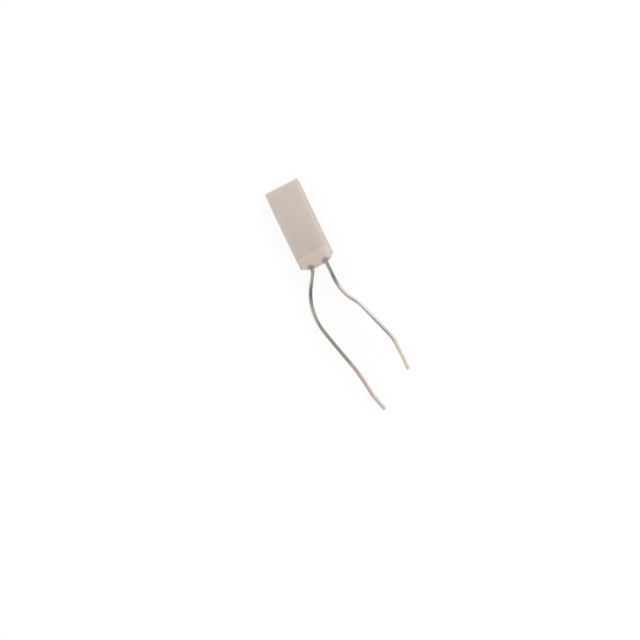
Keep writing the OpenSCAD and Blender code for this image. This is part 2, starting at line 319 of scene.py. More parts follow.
def fired_grain_group():
    """Node group: the fine grain of a fired surface, from object coordinates and three sizes in
    metres. Cloud is a slow drift of tone, Grain the fine relief, and Pinholes are 1 at the
    middles of a few scattered cells and fall smoothly to 0 round them."""
    group = bpy.data.node_groups.new("fired_grain", "ShaderNodeTree")
    for name, kind in (("Vector", "NodeSocketVector"), ("Cloud Size", "NodeSocketFloat"),
                       ("Grain Size", "NodeSocketFloat"), ("Pinhole Size", "NodeSocketFloat")):
        group.interface.new_socket(name=name, in_out="INPUT", socket_type=kind)
    for name in ("Cloud", "Grain", "Pinholes"):
        group.interface.new_socket(name=name, in_out="OUTPUT", socket_type="NodeSocketFloat")
    nodes, links = group.nodes, group.links
    come = nodes.new("NodeGroupInput")
    leave = nodes.new("NodeGroupOutput")

    def frequency(size_name):
        """1 / size, as the scale of a texture."""
        divide = new_node(nodes, "ShaderNodeMath", operation="DIVIDE")
        divide.inputs[0].default_value = 1.0
        links.new(come.outputs[size_name], divide.inputs[1])
        return divide.outputs[0]

    cloud = nodes.new("ShaderNodeTexNoise")
    cloud.inputs["Detail"].default_value = CLOUD_DETAIL
    links.new(come.outputs["Vector"], cloud.inputs["Vector"])
    links.new(frequency("Cloud Size"), cloud.inputs["Scale"])
    links.new(cloud.outputs["Fac"], leave.inputs["Cloud"])

    grain = nodes.new("ShaderNodeTexNoise")
    grain.inputs["Detail"].default_value = GRAIN_DETAIL
    grain.inputs["Roughness"].default_value = GRAIN_ROUGHNESS
    links.new(come.outputs["Vector"], grain.inputs["Vector"])
    links.new(frequency("Grain Size"), grain.inputs["Scale"])
    links.new(grain.outputs["Fac"], leave.inputs["Grain"])

    cells = nodes.new("ShaderNodeTexVoronoi")
    links.new(come.outputs["Vector"], cells.inputs["Vector"])
    links.new(frequency("Pinhole Size"), cells.inputs["Scale"])
    pit = new_node(nodes, "ShaderNodeMapRange", interpolation_type="SMOOTHSTEP")
    pit.inputs["From Min"].default_value = PINHOLE_RIM
    pit.inputs["From Max"].default_value = PINHOLE_FLOOR
    links.new(cells.outputs["Distance"], pit.inputs["Value"])
    cell_tone = nodes.new("ShaderNodeSeparateColor")
    links.new(cells.outputs["Color"], cell_tone.inputs[0])
    few = new_node(nodes, "ShaderNodeMath", operation="GREATER_THAN")
    few.inputs[1].default_value = CELLS_WITHOUT
    links.new(cell_tone.outputs[0], few.inputs[0])
    chosen = new_node(nodes, "ShaderNodeMath", operation="MULTIPLY")
    links.new(pit.outputs["Result"], chosen.inputs[0])
    links.new(few.outputs[0], chosen.inputs[1])
    links.new(chosen.outputs[0], leave.inputs["Pinholes"])
    return group


fired_grain = fired_grain_group()


def blank_material(name):
    """A new material's nodes and links, and its surface shader."""
    material = bpy.data.materials.new(name)
    material.use_nodes = True
    nodes, links = material.node_tree.nodes, material.node_tree.links
    return material, nodes, links, nodes["Principled BSDF"]


def place_grain(nodes, links, cloud_mm, grain_mm, pinhole_mm=0.1):
    """The fired grain group on object coordinates, with its three sizes in millimetres. The
    third matters only to a material that has pinholes."""
    place = nodes.new("ShaderNodeTexCoord")
    grain = new_node(nodes, "ShaderNodeGroup", node_tree=fired_grain)
    links.new(place.outputs["Object"], grain.inputs["Vector"])
    grain.inputs["Cloud Size"].default_value = cloud_mm * MM
    grain.inputs["Grain Size"].default_value = grain_mm * MM
    grain.inputs["Pinhole Size"].default_value = pinhole_mm * MM
    return grain


def two_tones(nodes, links, mask, low, high, from_min=0.35, from_max=0.65):
    """A colour that goes from low to high as the mask goes from from_min to from_max. Low and
    high are colours or outputs. A colour Mix takes them at inputs 6 and 7 and gives output 2."""
    spread = nodes.new("ShaderNodeMapRange")
    spread.inputs["From Min"].default_value = from_min
    spread.inputs["From Max"].default_value = from_max
    links.new(mask, spread.inputs["Value"])
    mix = new_node(nodes, "ShaderNodeMix", data_type="RGBA")
    links.new(spread.outputs["Result"], mix.inputs["Factor"])
    for socket, color in ((mix.inputs[6], low), (mix.inputs[7], high)):
        if isinstance(color, tuple):
            socket.default_value = color
        else:
            links.new(color, socket)
    return mix.outputs[2]


def relief(nodes, links, shader, height, distance_mm):
    """Bumps the shader's normal at full strength. A height of 1 stands for distance_mm."""
    bump = nodes.new("ShaderNodeBump")
    bump.inputs["Strength"].default_value = 1.0
    bump.inputs["Distance"].default_value = distance_mm * MM
    links.new(height, bump.inputs["Height"])
    links.new(bump.outputs["Normal"], shader.inputs["Normal"])


def alumina_material():
    """Unglazed fired alumina: matte and cream, with a granular surface."""
    material, nodes, links, shader = blank_material("alumina_fired")
    grain = place_grain(nodes, links, ALUMINA_CLOUD_MM, ALUMINA_GRAIN_MM)
    color = two_tones(nodes, links, grain.outputs["Cloud"], ALUMINA_SHADE, ALUMINA_COLOR)
    links.new(color, shader.inputs["Base Color"])
    shader.inputs["Roughness"].default_value = ALUMINA_ROUGHNESS
    shader.inputs["Specular IOR Level"].default_value = ALUMINA_GLOSS
    relief(nodes, links, shader, grain.outputs["Grain"], ALUMINA_RELIEF_MM)
    return material


def chip_rings():
    """Rings of the chip's skin from the back face to the glazed face. A ring on the sides is
    the outline drawn in by a sum that goes with its height: a quarter circle at each edge, the
    scribe bevel, which grows evenly toward the back, a row of pits in it, which go with one
    less a power of the sine of the way round, and seeded waves above it, where the plate
    snapped. The left side also falls back by an exponential toward its two corners."""
    half = (chip_high - chip_low) / 2
    outline, normal = round_rectangle(half[0], half[1], CHIP_CORNERS, CHIP_STEP)
    centre = ((chip_low + chip_high) / 2)[:2]
    thick = chip_high[2] - chip_low[2]
    travel = np.cumsum(np.r_[0, np.hypot(*np.diff(outline, axis=0).T)])
    height = np.concatenate([
        CHIP_EDGE * (1 - np.cos(np.linspace(0, np.pi / 2, EDGE_RINGS))),
        np.linspace(CHIP_EDGE, SCRIBE_DEPTH, BEVEL_RINGS)[1:],
        np.linspace(SCRIBE_DEPTH, thick - CHIP_EDGE, SNAP_RINGS)[1:-1],
        thick - CHIP_EDGE * (1 - np.cos(np.linspace(np.pi / 2, 0, EDGE_RINGS))),
    ])[:, None]
    edge = np.minimum(height, thick - height) / CHIP_EDGE
    rounding = CHIP_EDGE * (1 - np.sqrt(1 - (1 - np.minimum(edge, 1)) ** 2))
    scribed = np.clip(1 - height / SCRIBE_DEPTH, 0, 1)
    pit = np.abs(np.sin(np.pi * travel / PIT_PITCH)) ** PIT_POWER
    pits = PIT_DEPTH * (1 - pit) * np.sqrt(np.clip(scribed * PIT_FADE, 0, 1))
    uneven = waves(travel, SNAP_STRETCH * height + 0 * travel, SNAP_SIZE, SNAP_SEED)
    snapped = SNAP_RELIEF * (1 + uneven)
    inset = rounding + SCRIBE_BEVEL * scribed + pits
    inset = inset + snapped * (scribed == 0) * np.minimum(edge, 1)
    to_corner = half[1] - np.abs(outline[:, 1])
    worn = CORNER_WEAR * np.exp(-to_corner / WEAR_REACH) * np.maximum(-normal[:, 0], 0)
    flat = centre + outline - normal * (inset + worn)[..., None]
    sides = np.dstack([flat, chip_low[2] + height + 0 * travel])
    shrink = np.linspace(*FACE_SHARES, FACE_RINGS)[:, None, None]
    face = (sides[0][None, :, :2] - centre) * shrink + centre
    back = np.dstack([face, np.full(face.shape[:2], chip_low[2])])
    face = (sides[-1][None, :, :2] - centre) * shrink[::-1] + centre
    front = np.dstack([face, np.full(face.shape[:2], chip_high[2])])
    return np.concatenate([back, sides, front]), centre


rings, chip_centre = chip_rings()
chip = skin("chip_plate", (*chip_centre, chip_low[2]), rings, (*chip_centre, chip_high[2]),
            alumina_material())
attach(chip, "root")
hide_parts("alumina_chip")

# ---------------------------------------------------------------------------------------------
# Platinum film and contact pads. The film is sputtered on the chip and cut to a meander, and
# two metal pads are printed on its ends. Glass covers all of it.
# ---------------------------------------------------------------------------------------------
PLATINUM_COLOR = (0.55, 0.54, 0.52, 1.0)
PLATINUM_SHADE = (0.45, 0.44, 0.43, 1.0)
PLATINUM_GRAIN_MM = 0.006
PLATINUM_ROUGHNESS = 0.3
PAD_COLOR = (0.62, 0.52, 0.40, 1.0)
PAD_SHADE = (0.50, 0.42, 0.33, 1.0)
PAD_GRAIN_MM = 0.015
PAD_ROUGHNESS = 0.5
METAL_CLOUD_MM = 0.3
METAL_RELIEF_MM = 0.001


def thin_metal_material(name, low, high, grain_mm, roughness):
    """A thin fired metal layer: two close tones in slow clouds, over a fine grain."""
    material, nodes, links, shader = blank_material(name)
    grain = place_grain(nodes, links, METAL_CLOUD_MM, grain_mm)
    color = two_tones(nodes, links, grain.outputs["Cloud"], low, high)
    links.new(color, shader.inputs["Base Color"])
    shader.inputs["Metallic"].default_value = 1.0
    shader.inputs["Roughness"].default_value = roughness
    relief(nodes, links, shader, grain.outputs["Grain"], METAL_RELIEF_MM)
    return material


def dress(node, material):
    """Gives a carried-over solid its material in every slot."""
    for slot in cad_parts[node].material_slots:
        slot.material = material


film_material = thin_metal_material("film_sputtered", PLATINUM_SHADE, PLATINUM_COLOR,
                                    PLATINUM_GRAIN_MM, PLATINUM_ROUGHNESS)
pad_material = thin_metal_material("pad_printed", PAD_SHADE, PAD_COLOR,
                                   PAD_GRAIN_MM, PAD_ROUGHNESS)
dress("platinum_film", film_material)
dress("contact_pad_left", pad_material)
dress("contact_pad_right", pad_material)

# ---------------------------------------------------------------------------------------------
# Protective glaze. Cream glass, printed over the film and fired: it is thickest at its middle,
# rolls over softly at its edges and leaves a thin bare rim of ceramic.
# ---------------------------------------------------------------------------------------------
glaze_low, glaze_high = (np.array(corner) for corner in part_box("protective_glaze"))
GLAZE_CORNER = 0.12 * MM
GLAZE_ROLL = 0.11 * MM
GLAZE_CROWN = 0.045 * MM
CROWN_POWER = 4
GLAZE_WAVE = 0.0015 * MM
GLAZE_WAVE_SIZE = 1.4 * MM
GLAZE_SEED = 11
# The step along the outline, the rings up the roll, across the top and across the underside,
# and how large the first and the last ring of each face are against its edge.
GLAZE_STEP = 0.03 * MM
ROLL_RINGS = 12
TOP_RINGS = 34
TOP_SHARES = (0.98, 0.03)
UNDER_RINGS = 5
UNDER_SHARES = (0.1, 0.99)
GLAZE_COLOR = (0.62, 0.53, 0.46, 1.0)
GLAZE_WARM = (0.60, 0.495, 0.425, 1.0)
# A darker tone toward the lead end, reached between the two distances in Y below.
GLAZE_TOWARD_LEAD_END = (0.565, 0.475, 0.415, 1.0)
TOWARD_LEAD_END_SPAN = (0.3 * MM, -1.3 * MM)
# Painted light: a paler tone at the far end, where the rolled far edge faces the light.
GLAZE_FAR_END_LIGHT = (0.665, 0.575, 0.495, 1.0)
FAR_END_LIGHT_SPAN = (1.9 * MM, 2.45 * MM)
THIN_LEFT = (0.605, 0.56, 0.52, 1.0)
# The right side's tone is grayer where the coat is thin, and also lighter: a painted light from
# the lamp's side.
THIN_AND_LIT_RIGHT = (0.64, 0.565, 0.51, 1.0)
THIN_REACH_LEFT = 0.22 * MM
THIN_AND_LIT_REACH_RIGHT = 0.6 * MM
GLAZE_CLOUD_MM = 1.3
GLAZE_PEEL_MM = 0.05
GLAZE_PINHOLE_MM = 0.10
GLAZE_RELIEF_MM = 0.0012
GLAZE_ROUGHNESS = 0.42
GLAZE_GLOSS = 0.45


def glaze_top(x, y):
    """Height of the glaze's top at a place, with x and y taken from the glaze's centre. Over
    its underside it is a body times a quarter ellipse that falls to 0 within the roll of the
    edge. The body is the full thickness less twice the waves' height and less a bow across,
    which goes with a power of x, plus the waves."""
    half = (glaze_high - glaze_low)[:2] / 2
    thick = glaze_high[2] - glaze_low[2]
    past_x = np.abs(x) - (half[0] - GLAZE_CORNER)
    past_y = np.abs(y) - (half[1] - GLAZE_CORNER)
    outside = np.hypot(np.maximum(past_x, 0), np.maximum(past_y, 0))
    inside = np.minimum(np.maximum(past_x, past_y), 0)
    inward = np.clip((GLAZE_CORNER - outside - inside) / GLAZE_ROLL, 0, 1)
    roll = np.sqrt(1 - (1 - inward) ** 2)
    body = thick - GLAZE_WAVE * 2 - GLAZE_CROWN * np.abs(x / half[0]) ** CROWN_POWER
    return glaze_low[2] + roll * (body + GLAZE_WAVE * waves(x, y, GLAZE_WAVE_SIZE, GLAZE_SEED))


def glaze_rings():
    """Rings of the glaze's skin about its centre: copies of the outline that grow across the
    flat underside, then rings drawn in along its normals up the roll, spaced as a cosine, and
    copies of the last of these that shrink across the top."""
    half = (glaze_high - glaze_low)[:2] / 2
    outline, normal = round_rectangle(half[0], half[1], [GLAZE_CORNER] * 4, GLAZE_STEP)
    inset = GLAZE_ROLL * (1 - np.cos(np.linspace(0, np.pi / 2, ROLL_RINGS)))[:, None, None]
    rolled = outline - normal * inset
    shrink = np.linspace(*TOP_SHARES, TOP_RINGS)[:, None, None]
    flat = np.concatenate([rolled, rolled[-1] * shrink])
    top = np.dstack([flat, glaze_top(flat[..., 0], flat[..., 1])])
    under = outline * np.linspace(*UNDER_SHARES, UNDER_RINGS)[:, None, None]
    under = np.dstack([under, np.full(under.shape[:2], glaze_low[2])])
    return np.concatenate([under, top])


def glaze_material():
    """Cream glass with a satin gloss, slow warm clouds, faint orange peel and a few pinholes.
    It is a little darker toward the lead end, and paler at the far end, a painted light on the far
    rolled edge. At its sides, where it is thin, it goes over to a grayer tone, which on the right
    is also lighter and reaches further in: a painted light from the lamp's side."""
    material, nodes, links, shader = blank_material("glaze_cream")
    grain = place_grain(nodes, links, GLAZE_CLOUD_MM, GLAZE_PEEL_MM, GLAZE_PINHOLE_MM)
    color = two_tones(nodes, links, grain.outputs["Cloud"], GLAZE_WARM, GLAZE_COLOR)
    place = nodes.new("ShaderNodeTexCoord")
    axes = nodes.new("ShaderNodeSeparateXYZ")
    links.new(place.outputs["Object"], axes.inputs[0])
    color = two_tones(nodes, links, axes.outputs["Y"], color, GLAZE_TOWARD_LEAD_END, *TOWARD_LEAD_END_SPAN)
    # Painted light: paler at the far end.
    color = two_tones(nodes, links, axes.outputs["Y"], color, GLAZE_FAR_END_LIGHT, *FAR_END_LIGHT_SPAN)
    # Thin sides go grayer, and the right one lighter as well: a painted light.
    thin = new_node(nodes, "ShaderNodeAttribute", attribute_name="thin")
    thin_and_lit_color = two_tones(nodes, links, axes.outputs["X"], THIN_LEFT, THIN_AND_LIT_RIGHT,
                           glaze_low[0], glaze_high[0])
    color = two_tones(nodes, links, thin.outputs["Fac"], color, thin_and_lit_color, 0.0, 1.0)
    links.new(color, shader.inputs["Base Color"])
    shader.inputs["Roughness"].default_value = GLAZE_ROUGHNESS
    shader.inputs["Specular IOR Level"].default_value = GLAZE_GLOSS
    height = new_node(nodes, "ShaderNodeMath", operation="SUBTRACT")
    links.new(grain.outputs["Grain"], height.inputs[0])
    links.new(grain.outputs["Pinholes"], height.inputs[1])
    relief(nodes, links, shader, height.outputs[0], GLAZE_RELIEF_MM)
    return material


glaze_centre = ((glaze_low + glaze_high) / 2)[:2]
rings = glaze_rings()
rings[..., :2] += glaze_centre
glaze = skin("glaze_coat", (*glaze_centre, glaze_low[2]), rings,
             (*glaze_centre, glaze_top(np.zeros(1), np.zeros(1))[0]), glaze_material())
# How near each vertex lies to the coat's sides: 1 at its two sides, falling off as an exponential.
# On the left it follows where the coat is thin; on the right it reaches further in, to carry a
# painted light from the lamp's side.
glaze_points = np.empty(len(glaze.data.vertices) * 3)
glaze.data.vertices.foreach_get("co", glaze_points)
glaze_x = glaze_points[::3]
from_left = (glaze_x - glaze_low[0]) / THIN_REACH_LEFT
from_right = (glaze_high[0] - glaze_x) / THIN_AND_LIT_REACH_RIGHT
thin = glaze.data.attributes.new("thin", "FLOAT", "POINT")
thin.data.foreach_set("value", np.exp(-np.maximum(np.minimum(from_left, from_right), 0)))
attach(glaze, "root")
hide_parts("protective_glaze")

# ---------------------------------------------------------------------------------------------
# Leads. Round drawn nickel wire with a thin noble cladding, pressed flat at one end and welded
# to its pad, then bent by hand. Each is a list of straights and bends, as they were made.
# ---------------------------------------------------------------------------------------------
WIRE_D = 0.22 * MM
LEAD_PITCH = 0.94 * MM
LEAD_SHIFT = 0.095 * MM
# The pressed foot, half the length over which it goes over into the round wire, and how far
# that wire lies above the pad.
FOOT_LENGTH = 0.4 * MM
FOOT_WIDTH = 0.3 * MM
FOOT_THICK = 0.1 * MM
NECK = 0.15 * MM
WIRE_LIFT = 0.02 * MM
# Length of the round at each end of a lead, and how much of the section's area it takes off.
TIP_ROUND = 0.06 * MM
TIP_TAKEN = 0.8
FOOT_ROUND = 0.06 * MM
FOOT_TAKEN = 0.9
# What the foot's section loses of the power 1 that its sine and cosine have in the wire.
FOOT_SQUARENESS = 0.55
# The distance between rings, the fewest points on a bend, and the points of a ring.
RING_STEP = 0.03 * MM
BEND_STEPS = 6
SIDES = 40
# Clock direction of a bend, in degrees. A wire that runs toward -Y bends toward +X at 0 and
# toward +Z at 90.
RIGHTWARD = 0
LEFTWARD = 180

bead_low, bead_high = (np.array(corner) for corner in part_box("fixing_bead"))
pad_low, pad_high = (np.array(corner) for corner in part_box("contact_pad_left"))
pad_middle_y = (pad_low[1] + pad_high[1]) / 2
foot_back_y = pad_middle_y + FOOT_LENGTH / 2
neck_end_y = pad_middle_y - FOOT_LENGTH / 2
wire_z = pad_high[2] + WIRE_LIFT + WIRE_D / 2
in_bead = neck_end_y + NECK - bead_low[1]

# Each row: a straight and then a bend's radius, in millimetres, and the bend's angle and its
# clock direction, in degrees. After the last bend comes the straight tip, in millimetres.
LEFT_BENDS = [
    (in_bead / MM - 0.02, 0.35, 34, LEFTWARD + 5),
    (0.81, 3.5, 47, RIGHTWARD),
    (0.3, 60, 1.5, RIGHTWARD),
    (0.69, 9, 8.5, LEFTWARD),
    (0.65, 1.2, 9, RIGHTWARD),
]
LEFT_TIP = 1.02
RIGHT_BENDS = [
    (in_bead / MM + 1.04, 3, 32, RIGHTWARD + 10),
    (0.41, 1.6, 12, LEFTWARD),
    (2.34, 2.2, 18, LEFTWARD),
]
RIGHT_TIP = 1.65


def turned(axes, about, angles):
    """The three axes turned about a unit vector by each of the angles (Rodrigues' formula)."""
    cos, sin = np.cos(angles)[:, None, None], np.sin(angles)[:, None, None]
    along = (axes @ about)[None, :, None] * about
    return axes[None] * cos + np.cross(about, axes)[None] * sin + along * (1 - cos)


def wire_line(start, bends, tip):
    """Centre line of a bent wire that starts toward -Y: points, and axes (side, up, along) at
    each. A straight keeps its axes. A bend moves along a circle toward its clock direction,
    from side toward up, and turns the axes with it."""
    place = np.array(start)
    axes = np.array([[1.0, 0, 0], [0, 0, 1.0], [0, -1.0, 0]])
    places, frames = [place[None]], [axes[None]]
    for straight, radius, angle, clock in [*bends, (tip, 0, 0, 0)]:
        length = straight * MM
        run = np.linspace(0, length, max(2, int(length / RING_STEP)))[1:]
        places.append(place + run[:, None] * axes[2])
        frames.append(np.repeat(axes[None], len(run), axis=0))
        place = places[-1][-1]
        if angle == 0:
            continue
        r, a, c = radius * MM, np.radians(angle), np.radians(clock)
        inward = np.cos(c) * axes[0] + np.sin(c) * axes[1]
        about = np.cos(c) * axes[1] - np.sin(c) * axes[0]
        turn = np.linspace(0, a, max(BEND_STEPS, int(r * a / RING_STEP)))[1:, None]
        places.append(place + r * (1 - np.cos(turn)) * inward + r * np.sin(turn) * axes[2])
        frames.append(turned(axes, about, turn[:, 0]))
        place, axes = places[-1][-1], frames[-1][-1]
    return np.concatenate(places), np.concatenate(frames)


def lead_rings(side, bends, tip):
    """Rings of a lead's skin. The section is a superellipse: a circle in the wire, which goes
    over by a smooth step into a wide flat bar at the foot, down on its pad. Its size falls off
    along a part of an ellipse at both ends."""
    x = side * LEAD_PITCH / 2 + LEAD_SHIFT
    start = (x, foot_back_y, wire_z)
    extra = (foot_back_y - (neck_end_y + NECK)) / MM
    first = (bends[0][0] + extra, *bends[0][1:])
    places, frames = wire_line(start, [first, *bends[1:]], tip)
    travel = np.cumsum(np.r_[0, np.linalg.norm(np.diff(places, axis=0), axis=1)])
    ending = np.clip(1 - (travel[-1] - travel) / TIP_ROUND, 0, 1)
    starting = 1 - np.clip(travel / FOOT_ROUND, 0, 1)
    size = np.sqrt(1 - TIP_TAKEN * ending ** 2) * np.sqrt(1 - FOOT_TAKEN * starting ** 2)
    pressed = 1 - np.clip((travel - (FOOT_LENGTH - NECK)) / (2 * NECK), 0, 1)
    pressed = pressed ** 2 * (3 - 2 * pressed)
    width = (WIRE_D + (FOOT_WIDTH - WIRE_D) * pressed) * size
    height = (WIRE_D + (FOOT_THICK - WIRE_D) * pressed) * size
    drop = (wire_z - pad_high[2] - FOOT_THICK / 2) * pressed
    around = np.arange(SIDES) / SIDES * 2 * np.pi
    power = (1 - FOOT_SQUARENESS * pressed)[:, None]
    cos, sin = np.cos(around), np.sin(around)
    across = np.sign(cos) * np.abs(cos) ** power * width[:, None] / 2
    upward = np.sign(sin) * np.abs(sin) ** power * height[:, None] / 2 - drop[:, None]
    rings = (places[:, None] + across[..., None] * frames[:, None, 0]
             + upward[..., None] * frames[:, None, 1])
    first_pole = places[0] - frames[0, 1] * drop[0]
    return rings, first_pole, places[-1], travel


def wire_uv(piece, travel):
    """UV map of a lead: U is the way round, from 0 to 1, and V the distance along in
    millimetres. Where a face closes the ring, the corners in its first column have U = 1."""
    mesh = piece.data
    rows = len(travel)
    vertex = np.empty(len(mesh.loops), np.int32)
    mesh.loops.foreach_get("vertex_index", vertex)
    row = np.clip((vertex - 1) // SIDES, 0, rows - 1)
    column = (vertex - 1) % SIDES
    size = np.empty(len(mesh.polygons), np.int32)
    mesh.polygons.foreach_get("loop_total", size)
    highest = np.maximum.reduceat(column, np.r_[0, np.cumsum(size)[:-1]])
    wraps = np.repeat(highest == SIDES - 1, size) & (column == 0)
    uv = np.stack([(column + SIDES * wraps) / SIDES, travel[row] / MM], axis=1)
    layer = mesh.uv_layers.new(name="along_wire")
    layer.data.foreach_set("uv", uv.ravel().astype(np.float32))


# Skin of each wire at a distance along it in millimetres, from the foot to the free end: its tone,
# how much lighter its right flank is than its middle, how much lighter both its flanks are, and
# its roughness. The two flank columns are painted reflection and shade: they paint the light and
# dark that the metal's flanks and middle show. Both wires are dull where they leave the bead and
# darkest a little past it, and dull again toward their ends.
LEFT_SKIN = [
    (0.9, (0.37, 0.35, 0.31), 0.28, -0.25, 0.50),
    (1.5, (0.58, 0.53, 0.46), -0.55, -0.20, 0.40),
    (2.3, (0.28, 0.25, 0.23), -0.44, -0.28, 0.25),
    (3.3, (0.62, 0.58, 0.51), -0.12, -0.60, 0.35),
    (4.2, (0.49, 0.43, 0.40), -0.46, -0.28, 0.25),
    (5.0, (0.36, 0.34, 0.29), -0.50, -0.22, 0.25),
    (6.6, (0.41, 0.37, 0.33), -0.44, -0.28, 0.28),
    (7.3, (0.51, 0.45, 0.40), -0.23, -0.28, 0.35),
    (8.2, (0.57, 0.49, 0.43), 0.14, -0.42, 0.45),
    (10.0, (0.66, 0.57, 0.51), 0.13, -0.20, 0.60),
]
RIGHT_SKIN = [
    (0.9, (0.44, 0.40, 0.37), -0.24, -0.33, 0.50),
    (1.4, (0.41, 0.37, 0.35), -0.52, -0.22, 0.35),
    (1.9, (0.28, 0.27, 0.24), -0.44, -0.28, 0.25),
    (2.5, (0.59, 0.54, 0.50), 0.03, -0.42, 0.30),
    (3.3, (0.50, 0.45, 0.41), -0.08, 0.18, 0.14),
    (4.1, (0.54, 0.49, 0.45), -0.24, 0.34, 0.12),
    (6.5, (0.44, 0.39, 0.34), -0.13, 0.03, 0.14),
    (7.3, (0.63, 0.56, 0.49), 0.03, -0.30, 0.30),
    (8.1, (0.70, 0.64, 0.56), -0.17, 0.04, 0.50),
    (9.3, (0.70, 0.60, 0.49), 0.10, -0.12, 0.60),
]
# The length of wire, in millimetres, that a ramp from 0 to 1 stands for.
SKIN_SPAN = 12.0
# Drawn lines: how many go round the wire and how many fall on a millimetre along it.
LINES_ROUND = 26.0
LINES_ALONG = 0.5
LINES_DETAIL = 3.0
LINES_RELIEF_MM = 0.003
LINES_ROUGHNESS = 0.2
# Patches that move the rows of the skin to and fro along the wire, in millimetres.
PATCH_SIZE = 0.7 * MM
PATCH_DETAIL = 4.0
PATCH_SHIFT = 1.2


def lead_material(name, skin_rows):
    """Drawn nickel-clad wire: fine lines along it, and a tone, lighter or darker flanks and a
    roughness that change along it. The flanks are painted reflection and shade. The right flank's
    share is the cosine of the way round, and both flanks' share is its square."""
    material, nodes, links, shader = blank_material(name)
    place = nodes.new("ShaderNodeUVMap")
    place.uv_map = "along_wire"
    axes = nodes.new("ShaderNodeSeparateXYZ")
    links.new(place.outputs["UV"], axes.inputs[0])

    lines_place = nodes.new("ShaderNodeMapping")
    lines_place.inputs["Scale"].default_value = (LINES_ROUND, LINES_ALONG, 1.0)
    links.new(place.outputs["UV"], lines_place.inputs["Vector"])
    lines = nodes.new("ShaderNodeTexNoise")
    lines.inputs["Scale"].default_value = 1.0
    lines.inputs["Detail"].default_value = LINES_DETAIL
    links.new(lines_place.outputs["Vector"], lines.inputs["Vector"])

    patch_place = nodes.new("ShaderNodeTexCoord")
    patches = nodes.new("ShaderNodeTexNoise")
    patches.inputs["Scale"].default_value = 1 / PATCH_SIZE
    patches.inputs["Detail"].default_value = PATCH_DETAIL
    links.new(patch_place.outputs["Object"], patches.inputs["Vector"])

    def plain_math(operation, first, second, third=0.0):
        """A Math node on outputs or plain numbers."""
        node = new_node(nodes, "ShaderNodeMath", operation=operation)
        for socket, value in zip(node.inputs, (first, second, third)):
            if isinstance(value, float):
                socket.default_value = value
            else:
                links.new(value, socket)
        return node.outputs[0]

    drift = plain_math("MULTIPLY_ADD", patches.outputs["Fac"], PATCH_SHIFT, -PATCH_SHIFT / 2)
    distance = plain_math("ADD", drift, axes.outputs["Y"])
    share = plain_math("DIVIDE", distance, SKIN_SPAN)

    places = [row[0] / SKIN_SPAN for row in skin_rows]
    tones = ramp(nodes, links, share, [(at, row[1]) for at, row in zip(places, skin_rows)])
    dull = ramp(nodes, links, share, [(at, (row[4],) * 3) for at, row in zip(places, skin_rows)])

    # A ramp holds 0 to 1, so a flank's share between -1 and 1 goes in halved, with 0.5 added.
    # Painted reflection and shade: the flanks are made lighter or darker than the middle.
    right_flank_painted_share = plain_math("COSINE", plain_math("MULTIPLY", axes.outputs["X"], 2 * np.pi), 0.0)
    flanks_painted_share = plain_math("MULTIPLY", right_flank_painted_share, right_flank_painted_share)
    flank = 1.0
    for column, way in ((2, right_flank_painted_share), (3, flanks_painted_share)):
        stops = [(at, (0.5 + row[column] / 2,) * 3) for at, row in zip(places, skin_rows)]
        lighter = plain_math("MULTIPLY_ADD", ramp(nodes, links, share, stops), 2.0, -1.0)
        flank = plain_math("MULTIPLY_ADD", lighter, way, flank)
    tone = new_node(nodes, "ShaderNodeVectorMath", operation="SCALE")
    links.new(tones, tone.inputs[0])
    links.new(flank, tone.inputs["Scale"])
    links.new(tone.outputs[0], shader.inputs["Base Color"])
    shader.inputs["Metallic"].default_value = 1.0
    rough = plain_math("MULTIPLY_ADD", lines.outputs["Fac"], LINES_ROUGHNESS, dull)
    rough = plain_math("SUBTRACT", rough, LINES_ROUGHNESS / 2)
    links.new(rough, shader.inputs["Roughness"])
    relief(nodes, links, shader, lines.outputs["Fac"], LINES_RELIEF_MM)
    return material


for name, node, side, bends, tip, skin_rows in (
    ("wire_left", "lead_left", -1, LEFT_BENDS, LEFT_TIP, LEFT_SKIN),
    ("wire_right", "lead_right", 1, RIGHT_BENDS, RIGHT_TIP, RIGHT_SKIN),
):
    rings, first_pole, last_pole, travel = lead_rings(side, bends, tip)
    lead = skin(name, first_pole, rings, last_pole, lead_material(name, skin_rows))
    wire_uv(lead, travel)
    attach(lead, "root")
    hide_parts(node)

# ---------------------------------------------------------------------------------------------
# Fixing bead. Glass paste put over the pads and fired: it runs onto the glaze behind, hangs
# down the end of the chip in front and climbs the wires a little where they leave it.
# ---------------------------------------------------------------------------------------------
BEAD_RADIUS = 0.55 * MM
BEAD_ROWS = 159
BEAD_COLUMNS = 240
# Powers of the bead's ends, in front and behind, and how much more of them the right end has
# than the middle. Then what share of its radius the back has lost, how long the left end is
# against the right, and what share of its width the front has lost.
FRONT_FULLNESS = 2.95
BACK_FULLNESS = 4.3
FULLER_RIGHT = 0.14
BACK_DRAWN_IN = 0.5
LEFT_SHARE = 0.988
FRONT_NARROWED = 0.04
# The foot of glass on the glaze: its reach from the axis, how much of that is unsteady and how
# much is lost at the ends, its height, the powers that it falls off with, how far it sinks in
# at last, and the most that it may reach, in radii of the bead.
PASTE_REACH = 0.64 * MM
REACH_UNSTEADY = 0.06
REACH_WAVE_SIZE = 0.9 * MM
REACH_SEED = 5
REACH_LOST = 0.2
REACH_LOST_POWER = 4
PASTE_HEIGHT = 0.032 * MM
PASTE_POWER = 1.3
PASTE_END_POWER = 6
PASTE_SUNK = 0.004 * MM
FURTHEST_RADII = 1.5
SHELF_ROUNDS = 8
# The wall in front of the chip's end face: how far off it stands, and how much it may pass the
# bead's own radius. Then the powers with which foot and wall join the round of the bead, and
# the least sine that a distance is divided by.
WALL_STANDOFF = 0.003 * MM
WALL_PAST = 0.05
SHELF_JOIN = 8
WALL_JOIN = 20
LEAST_SINE = 0.05
# Glass drawn out along a wire, and how far from the wire it has fallen off.
GLASS_CLIMB = 0.09 * MM
CLIMB_REACH = 0.07 * MM
